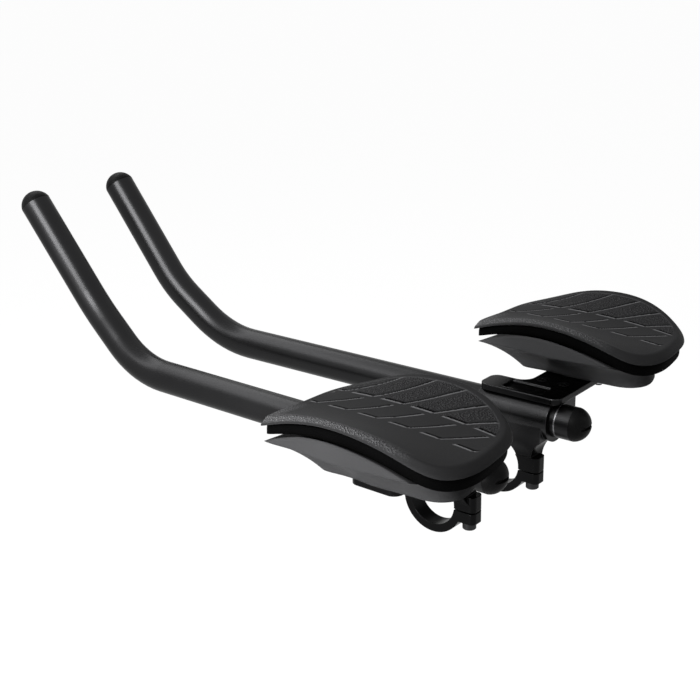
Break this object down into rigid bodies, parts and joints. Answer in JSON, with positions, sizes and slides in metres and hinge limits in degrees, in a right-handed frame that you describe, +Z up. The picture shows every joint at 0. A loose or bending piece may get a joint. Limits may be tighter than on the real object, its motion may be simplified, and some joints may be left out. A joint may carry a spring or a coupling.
{
  "type": "aero handlebar extension",
  "caption": "Clip-on aero handlebar extensions: upturned tubes in split brackets, contoured forearm pads on moulded cups and hinged handlebar clamps.",
  "frame": {"origin": "on the axis of the handlebar, midway between the clamps", "axes": "+Y is forward along the extension tubes, +X is the rider's right along the handlebar, +Z is up"},
  "size_m": [0.3176, 0.4565, 0.1687],
  "materials": {
    "tube": "satin black anodised",
    "bracket": "satin black anodised",
    "deck": "satin black anodised",
    "plug": "black moulded plastic",
    "cup": "dark grey moulded plastic",
    "foam": "black closed-cell foam",
    "skin": "dark grey moulded foam with a fine grain",
    "patch": "black hook-and-loop tape",
    "steel": "plain steel"
  },
  "bodies": {
    "root": {"left_extension_tube": "tube", "left_tip_plug": "plug", "left_rear_plug": "plug", "left_bracket_body": "bracket", "left_clamp_strap": "bracket", "left_hinge_pin": "steel", "left_clamp_bolt": "steel", "left_pinch_bolt": "steel", "left_armrest_deck": "deck", "left_deck_screw_front": "steel", "left_deck_screw_rear": "steel", "left_armrest_cup": "cup", "left_pad_foam": "foam", "left_pad_skin": "skin", "left_pad_patch_west": "patch", "left_pad_patch_east": "patch", "left_cup_bolt_front": "steel", "left_cup_bolt_rear": "steel", "left_cup_washer_front": "steel", "left_cup_washer_rear": "steel", "left_cup_nut_front": "steel", "left_cup_nut_rear": "steel", "right_extension_tube": "tube", "right_tip_plug": "plug", "right_rear_plug": "plug", "right_bracket_body": "bracket", "right_clamp_strap": "bracket", "right_hinge_pin": "steel", "right_clamp_bolt": "steel", "right_pinch_bolt": "steel", "right_armrest_deck": "deck", "right_deck_screw_front": "steel", "right_deck_screw_rear": "steel", "right_armrest_cup": "cup", "right_pad_foam": "foam", "right_pad_skin": "skin", "right_pad_patch_west": "patch", "right_pad_patch_east": "patch", "right_cup_bolt_front": "steel", "right_cup_bolt_rear": "steel", "right_cup_washer_front": "steel", "right_cup_washer_rear": "steel", "right_cup_nut_front": "steel", "right_cup_nut_rear": "steel"}
  },
  "joints": []
}
